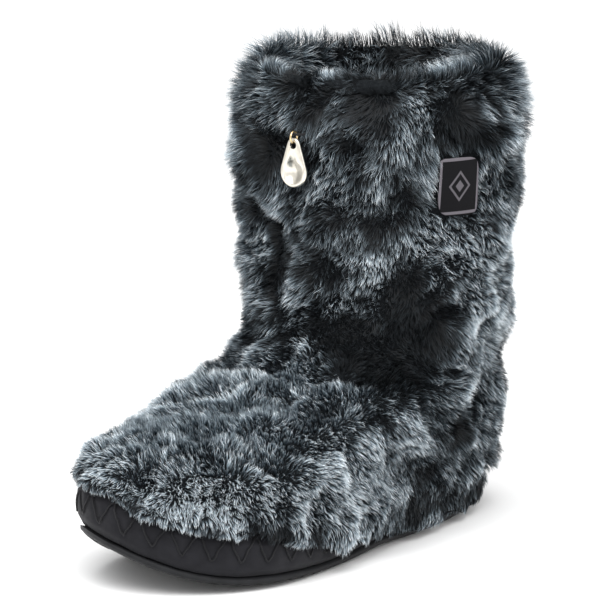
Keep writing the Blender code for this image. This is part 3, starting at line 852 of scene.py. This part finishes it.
# Each ribbon is one four-sided face from its root to its middle, and a triangle from there to its tip
def ribbonMesh(name, spot, middle, end, up, light, rootWidth, midWidth):
    count = len(spot)
    way = unit(end - spot)
    across = np.cross(way, up)
    steep = np.linalg.norm(across, axis=1) < ribbonShape["steep"]
    across[steep] = np.cross(way[steep], unit(rng.normal(size=(steep.sum(), 3))))
    across = unit(across)
    turn = rng.uniform(-ribbonShape["turn"], ribbonShape["turn"], count)[:, None]
    across = across * np.cos(turn) + np.cross(way, across) * np.sin(turn)
    facing = np.einsum("ij,ij->i", np.cross(across, way), up)
    across[facing < 0] *= -1
    atRoot = across * (rootWidth / 2)
    atMiddle = across * (midWidth / 2)
    sides = [spot - atRoot, spot + atRoot, middle + atMiddle, middle - atMiddle, end]
    verts = np.stack(sides, 1)
    shadeUp = unit(flattened(up, way) + up * ribbonShape["round"])
    quad, tip = np.array([0, 1, 2, 3]), np.array([3, 2, 4])
    perRibbon = len(quad) + len(tip)
    first = np.arange(count)[:, None] * len(sides)
    loops = np.concatenate([first + quad, first + tip], 1).ravel()
    starts = (np.arange(count)[:, None] * perRibbon + np.array([0, len(quad)])).ravel()
    mesh = bpy.data.meshes.new(name)
    mesh.vertices.add(count * len(sides))
    mesh.vertices.foreach_set("co", verts.ravel())
    mesh.loops.add(count * perRibbon)
    mesh.loops.foreach_set("vertex_index", loops)
    mesh.polygons.add(count * 2)
    mesh.polygons.foreach_set("loop_start", starts)
    mesh.update(calc_edges=True)
    along = np.tile(np.array([0.0, 0.0, 0.5, 0.5, 0.5, 0.5, 1.0]), count)
    margin = ribbonShape["uvMargin"]
    uv = np.stack([along * (1 - 2 * margin) + margin, np.repeat(light, perRibbon)], 1)
    layer = mesh.uv_layers.new(name="strand")
    layer.data.foreach_set("uv", uv.ravel())
    smoothShade(mesh)
    mesh.normals_split_custom_set_from_vertices(np.repeat(shadeUp, len(sides), axis=0))
    return linkNew(name, mesh)


def makePile():
    spot, middle, end, up, light = growStrands()
    hidden = overLabel(middle) | overLabel(end) | overCharm(middle) | overCharm(end)
    hairs = [field[~hidden] for field in (spot, middle, end, up, light)]
    print("strands grown:", len(hairs[0]))
    for number, first in enumerate(range(0, len(hairs[0]), pilePiece["perPiece"])):
        some = [field[first:first + pilePiece["perPiece"]] for field in hairs]
        pile = ribbonMesh(f"furPile{number + 1}", *some, pilePiece["rootWidth"], pilePiece["midWidth"])
        finished(pile, furMaterial, "boot", "fur", "upper")


makePile()
print("pile made")


# The rand: a soft suede band, puckered where the whip stitches pull it in
randPiece = {
    "pitch": 0.0145,
    "middle": (0.090, 0.0),
    "tipLow": 0.34,
    "tipHigh": 0.98,
    "threadRadius": 0.00040,
    "threadProud": 0.35,
    "stitchPoints": 16,
    "pucker": 0.0007,
    "puckerReach": 0.0022,
    "swell": 0.0003,
    "swellNoise": (90.0, (4.0, 1.0, 2.0)),
    "suede": [(0.25, (0.0065, 0.0065, 0.0085)), (0.75, (0.0125, 0.0125, 0.0155))],
}

# The stitch line is found by casting rays at the rand's outside, at every half degree and height
castPiece = {"turns": 720, "from": 0.25, "lowest": 0.002, "step": 0.0005, "heights": 130, "band": 0.006}


def randSection(tree, turn):
    way = Vector((math.cos(turn), math.sin(turn), 0.0))
    middle = Vector((*randPiece["middle"], 0.0))
    found = []
    for k in range(castPiece["heights"]):
        height = Vector((0.0, 0.0, castPiece["lowest"] + k * castPiece["step"]))
        hit, normal, _, far = tree.ray_cast(middle + way * castPiece["from"] + height, -way)
        if hit is not None:
            found.append((far, hit, normal))
    nearest = min(f[0] for f in found)
    return [(hit, normal) for far, hit, normal in found if far < nearest + castPiece["band"]]


def zigzagPath(tree):
    turns = castPiece["turns"]
    sections = [randSection(tree, 2 * math.pi * k / turns) for k in range(turns + 1)]
    middles = [section[len(section) // 2][0] for section in sections]
    run = [0.0]
    for a, b in zip(middles[:-1], middles[1:]):
        run.append(run[-1] + (b - a).length)
    perStitch = randPiece["stitchPoints"]
    count = round(run[-1] / randPiece["pitch"]) * perStitch
    path = []
    for k in range(count):
        i = int(np.searchsorted(run, run[-1] * k / count))
        section = sections[min(i, turns)]
        rise = abs((k % perStitch) / perStitch * 2 - 1)
        share = randPiece["tipLow"] + (randPiece["tipHigh"] - randPiece["tipLow"]) * rise
        hit, normal = section[min(int(share * len(section)), len(section) - 1)]
        path.append(hit + normal * (randPiece["threadRadius"] * randPiece["threadProud"]))
    return [(path[k - 1] + path[k] * 2 + path[(k + 1) % count]) / 4 for k in range(count)]


def makeRand():
    piece = mergedCopy("randBand", "rand")
    path = zigzagPath(surfaceTree(piece.data))
    subdivide(piece, "SIMPLE")
    places, ways = pointsOf(piece.data), normalsOf(piece.data)
    tree = pointTree(path)
    far = np.array([tree.find(p)[2] for p in places.tolist()])
    pull = np.exp(-((far / randPiece["puckerReach"]) ** 2)) * randPiece["pucker"]
    swell = noiseField(places, *randPiece["swellNoise"])[:, 0] * randPiece["swell"]
    places += ways * (swell - pull)[:, None]
    piece.data.vertices.foreach_set("co", places.ravel())
    smoothShade(piece.data)
    material, tree, shader = startMaterial("suede", roughness=0.80, specular=0.18, sheen=0.04)
    grained(tree, shader, cloudScale=160.0, cloudDetail=4.0, toothScale=2600.0, toothDepth=0.00012,
            stops=randPiece["suede"])
    finished(piece, material, "boot", "rand_suede", "rand")
    return path


def closedThread(name, path, radius):
    data = bpy.data.curves.new(name, "CURVE")
    data.dimensions = "3D"
    data.bevel_depth = radius
    data.bevel_resolution = 2
    spline = data.splines.new("POLY")
    spline.points.add(len(path) - 1)
    for point, place in zip(spline.points, path):
        point.co = (*place, 1.0)
    spline.use_cyclic_u = True
    holder = linkNew(name + "Curve", data)
    graph = bpy.context.evaluated_depsgraph_get()
    mesh = bpy.data.meshes.new_from_object(holder.evaluated_get(graph))
    mesh.name = name
    bpy.data.objects.remove(holder)
    bpy.data.curves.remove(data)
    smoothShade(mesh)
    return linkNew(name, mesh)


def makeThreadMaterial():
    material, tree, shader = startMaterial("thread", roughness=0.65, specular=0.25, sheen=0.05)
    grained(tree, shader, cloudScale=3200.0, cloudDetail=1.0, toothScale=3200.0, toothDepth=0.0001,
            stops=[(0.3, (0.002, 0.002, 0.003)), (0.7, (0.008, 0.008, 0.010))])
    return material


threadMaterial = makeThreadMaterial()
stitchPath = makeRand()
stitches = closedThread("whipStitches", stitchPath, randPiece["threadRadius"])
finished(stitches, threadMaterial, "boot", "thread", "rand")
print("rand and stitches made:", len(stitchPath) // randPiece["stitchPoints"])


# The outsole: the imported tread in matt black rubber, smooth round its bends and sharp at its grooves
solePiece = {"sharpFrom": 35, "rubber": [(0.3, (0.0075, 0.0078, 0.009)), (0.75, (0.0150, 0.0155, 0.0175))]}


def makeOutsole():
    material, tree, shader = startMaterial("rubber", roughness=0.60, specular=0.22)
    grained(tree, shader, cloudScale=140.0, cloudDetail=5.0, toothScale=900.0, toothDepth=0.00028,
            stops=solePiece["rubber"])
    piece = mergedCopy("soleTread", "outsole")
    piece.data.shade_smooth()
    piece.data.set_sharp_from_angle(angle=math.radians(solePiece["sharpFrom"]))
    finished(piece, material, "boot", "outsole_rubber", "outsole")


makeOutsole()
print("outsole made")


# The footbed: a crowned pad under a short fleece
bedPiece = {
    "crown": 0.0020,
    "halfWidth": 0.045,
    "lump": 0.0008,
    "lumpNoise": (60.0, (0.4, 3.0, 5.0)),
    "topFacing": (0.5, 0.95),
    "strands": 13000,
    "pile": 0.0045,
    "width": 0.00045,
    "growsFrom": 0.7,
    "curlNoise": (170.0, (7.0, 2.0, 3.0)),
    "lean": 0.9,
    "stray": 0.25,
    "lengths": (0.7, 1.1),
    "bend": 0.6,
    "bendStray": 0.3,
    "light": 0.42,
    "lightCurl": 0.3,
    "lightStray": 0.1,
}


def makeBed():
    piece = mergedCopy("fleeceBed", "insole")
    subdivide(piece, "SIMPLE")
    mesh = piece.data
    places, ways = pointsOf(mesh), normalsOf(mesh)
    lump = noiseField(places, *bedPiece["lumpNoise"])[:, 0] * bedPiece["lump"]
    crown = bedPiece["crown"] * (places[:, 1] / bedPiece["halfWidth"]) ** 2
    places[:, 2] += ease(ways[:, 2], *bedPiece["topFacing"]) * (lump - crown)
    mesh.vertices.foreach_set("co", places.ravel())
    smoothShade(mesh)
    finished(piece, backingMaterial, "boot", "insole_fleece", "insole")
    finished(makeFleece(mesh, places), furMaterial, "boot", "insole_fleece", "insole")


def makeFleece(mesh, places):
    tris = trianglesOf(mesh)
    sides = places[tris]
    cross = np.cross(sides[:, 1] - sides[:, 0], sides[:, 2] - sides[:, 0])
    wanted = np.linalg.norm(cross, axis=1) * (unit(cross)[:, 2] > bedPiece["growsFrom"])
    count = bedPiece["strands"]
    pick, share = scattered(count, wanted)
    spot = atShares(places, tris[pick], share)
    up = unit(unit(cross)[pick])
    curl = noiseField(spot, *bedPiece["curlNoise"])
    way = unit(up + curl * bedPiece["lean"] + rng.normal(size=(count, 3)) * bedPiece["stray"])
    size = (bedPiece["pile"] * rng.uniform(*bedPiece["lengths"], count))[:, None]
    middle = spot + way * size * 0.5
    bend = unit(way + curl * bedPiece["bend"] + rng.normal(size=(count, 3)) * bedPiece["bendStray"])
    end = middle + bend * size * 0.5
    stray = rng.normal(size=count) * bedPiece["lightStray"]
    light = bedPiece["light"] + curl[:, 0] * bedPiece["lightCurl"] + stray
    light = np.clip(light, *ribbonShape["lightRange"])
    return ribbonMesh("fleecePile", spot, middle, end, up, light, bedPiece["width"], bedPiece["width"])


makeBed()
print("footbed made")


# The label: a black woven patch with a plain border and diamond, in shares of half the patch
labelPiece = {
    "half": (0.0120, 0.0145),
    "ground": (0.0045, 0.0045, 0.0055),
    "edge": (0.150, 0.138, 0.155),
    "figure": (0.120, 0.112, 0.125),
    "edgeFrom": 0.84,
    "edgeTo": 0.94,
    "ringAt": 0.46,
    "ringHalf": 0.055,
    "core": 0.20,
    "weftFine": 190.0,
    "warpFine": 160.0,
    "weaveShade": 0.22,
    "weaveBase": 0.80,
    "weaveHeight": 0.3,
    "gap": (0.002, 0.002, 0.0025),
}


def makeLabel():
    piece = mergedCopy("labelPatch", "label")
    subdivide(piece, "CATMULL_CLARK")
    mesh = piece.data
    smoothShade(mesh)
    mid, _, side, rise = labelFrame()
    places = pointsOf(mesh) - mid
    corner = np.zeros(len(mesh.loops), int)
    mesh.loops.foreach_get("vertex_index", corner)
    halfWidth, halfHeight = labelPiece["half"]
    uv = np.stack([places @ side / halfWidth, places @ rise / halfHeight], 1)
    for layer in list(mesh.uv_layers):
        mesh.uv_layers.remove(layer)
    layer = mesh.uv_layers.new(name="patch")
    layer.data.foreach_set("uv", uv[corner].ravel())
    finished(piece, makePatchMaterial(), "boot", "woven_label", "label")


def makePatchMaterial():
    material, tree, shader = startMaterial("wovenPatch", roughness=0.80, specular=0.12)
    u, v = uvParts(tree, "patch")
    across, upward = maths(tree, "ABSOLUTE", u), maths(tree, "ABSOLUTE", v)
    square = maths(tree, "MAXIMUM", across, upward)
    overEdge = maths(tree, "GREATER_THAN", square, labelPiece["edgeFrom"])
    underEdge = maths(tree, "LESS_THAN", square, labelPiece["edgeTo"])
    border = maths(tree, "MULTIPLY", overEdge, underEdge)
    away = maths(tree, "ADD", across, upward)
    ring = maths(tree, "COMPARE", away, labelPiece["ringAt"], labelPiece["ringHalf"])
    figure = maths(tree, "MAXIMUM", ring, maths(tree, "LESS_THAN", away, labelPiece["core"]))
    weft = maths(tree, "SINE", maths(tree, "MULTIPLY", v, labelPiece["weftFine"]))
    warp = maths(tree, "SINE", maths(tree, "MULTIPLY", u, labelPiece["warpFine"]))
    weave = maths(tree, "MULTIPLY", weft, warp)
    shade = maths(tree, "MULTIPLY_ADD", weave, labelPiece["weaveShade"], labelPiece["weaveBase"])
    colour = mixed(tree, figure, labelPiece["ground"], labelPiece["figure"])
    colour = mixed(tree, border, colour, labelPiece["edge"])
    tree.links.new(mixed(tree, shade, labelPiece["gap"], colour), shader.inputs["Base Color"])
    raised = maths(tree, "MAXIMUM", border, figure)
    height = maths(tree, "ADD", maths(tree, "MULTIPLY", weave, labelPiece["weaveHeight"]), raised)
    tree.links.new(bumped(tree, height, 0.00012, 0.8), shader.inputs["Normal"])
    return material


makeLabel()
print("label made")


# The charm, its ring and the sewn bar that holds them
charmPiece = {
    "silver": (0.78, 0.74, 0.65),
    "silverRoughness": 0.30,
    "gold": (0.80, 0.62, 0.36),
    "goldRoughness": 0.22,
    "dull": 0.86,
    "sharpFrom": 40,
}


def makeMetal(name, colour, roughness):
    material, tree, shader = startMaterial(name, roughness=roughness, metallic=1.0)
    dull = tuple(c * charmPiece["dull"] for c in colour)
    grained(tree, shader, cloudScale=420.0, cloudDetail=4.0, toothScale=1500.0, toothDepth=0.00003,
            stops=[(0.35, dull), (0.65, colour)])
    return material


def makeCharm():
    for name, node, tint in (("tearCharm", "charm", "silver"), ("jumpRing", "charm_ring", "gold")):
        piece = mergedCopy(name, node)
        piece.data.shade_smooth()
        piece.data.set_sharp_from_angle(angle=math.radians(charmPiece["sharpFrom"]))
        material = makeMetal(name, charmPiece[tint], charmPiece[tint + "Roughness"])
        finished(piece, material, "charm", "charm_metal", node)
    bar = mergedCopy("threadBar", "charm_tab")
    smoothShade(bar.data)
    finished(bar, threadMaterial, "boot", "thread", "charm_tab")


makeCharm()
print("charm made")


# Stage, light and camera
stagePiece = {
    "floorSize": 14.0,
    "floorColour": (0.95, 0.95, 0.95),
    "floorDrop": 0.0001,
    "lampAim": (0.05, 0.0, 0.1),
    "lamps": {
        "keyLight": {"place": (1.0, 0.3, 2.1), "size": 2.2, "power": 58.0},
        "fillLight": {"place": (0.4, 2.0, 1.2), "size": 1.6, "power": 10.0},
    },
}

# The camera's place and its picture's turn, as fitted to the photo's outline
cameraPiece = {
    "place": (2.19114851, 1.33224402, 0.57050057),
    "target": (0.03, 0.0, 0.12),
    "rightTurn": 121.652,
    "shiftLeft": 0.02715,
    "shiftDown": 0.01238,
    "sensor": 36.0,
    "lens": 323.3,
    "farthest": 50.0,
}


def makeFloor():
    bm = bmesh.new()
    bmesh.ops.create_grid(bm, x_segments=1, y_segments=1, size=stagePiece["floorSize"] / 2)
    bmesh.ops.translate(bm, verts=bm.verts, vec=(0.0, 0.0, -stagePiece["floorDrop"]))
    mesh = bpy.data.meshes.new("floor")
    bm.to_mesh(mesh)
    bm.free()
    material, _, shader = startMaterial("floor", roughness=0.9, specular=0.1)
    shader.inputs["Base Color"].default_value = (*stagePiece["floorColour"], 1.0)
    mesh.materials.append(material)
    floor = linkNew("floor", mesh)


def makeLamps():
    aim = Vector(stagePiece["lampAim"])
    for name, lamp in stagePiece["lamps"].items():
        data = bpy.data.lights.new(name, "AREA")
        data.shape = "SQUARE"
        data.size = lamp["size"]
        data.energy = lamp["power"]
        holder = linkNew(name, data)
        holder.location = lamp["place"]
        holder.rotation_euler = (aim - Vector(lamp["place"])).to_track_quat("-Z", "Y").to_euler()


def makeCamera():
    place, target = Vector(cameraPiece["place"]), Vector(cameraPiece["target"])
    turn = math.radians(cameraPiece["rightTurn"])
    right = Vector((math.cos(turn), math.sin(turn), 0.0))
    rise = right.cross((target - place).normalized())
    aim = target - right * cameraPiece["shiftLeft"] - rise * cameraPiece["shiftDown"]
    data = bpy.data.cameras.new("camera")
    data.sensor_width = cameraPiece["sensor"]
    data.lens = cameraPiece["lens"]
    data.clip_end = cameraPiece["farthest"]
    camera = linkNew("camera", data)
    camera.location = place
    camera.rotation_euler = (aim - place).to_track_quat("-Z", "Y").to_euler()
    scene.camera = camera


def makeWorld():
    world = bpy.data.worlds.new("studio")
    world.use_nodes = True
    background = world.node_tree.nodes["Background"]
    background.inputs["Color"].default_value = (1.0, 1.0, 1.0, 1.0)
    background.inputs["Strength"].default_value = 1.0
    scene.world = world


makeFloor()
makeLamps()
makeCamera()
makeWorld()
scene.view_settings.view_transform = "Standard"
print("stage made")
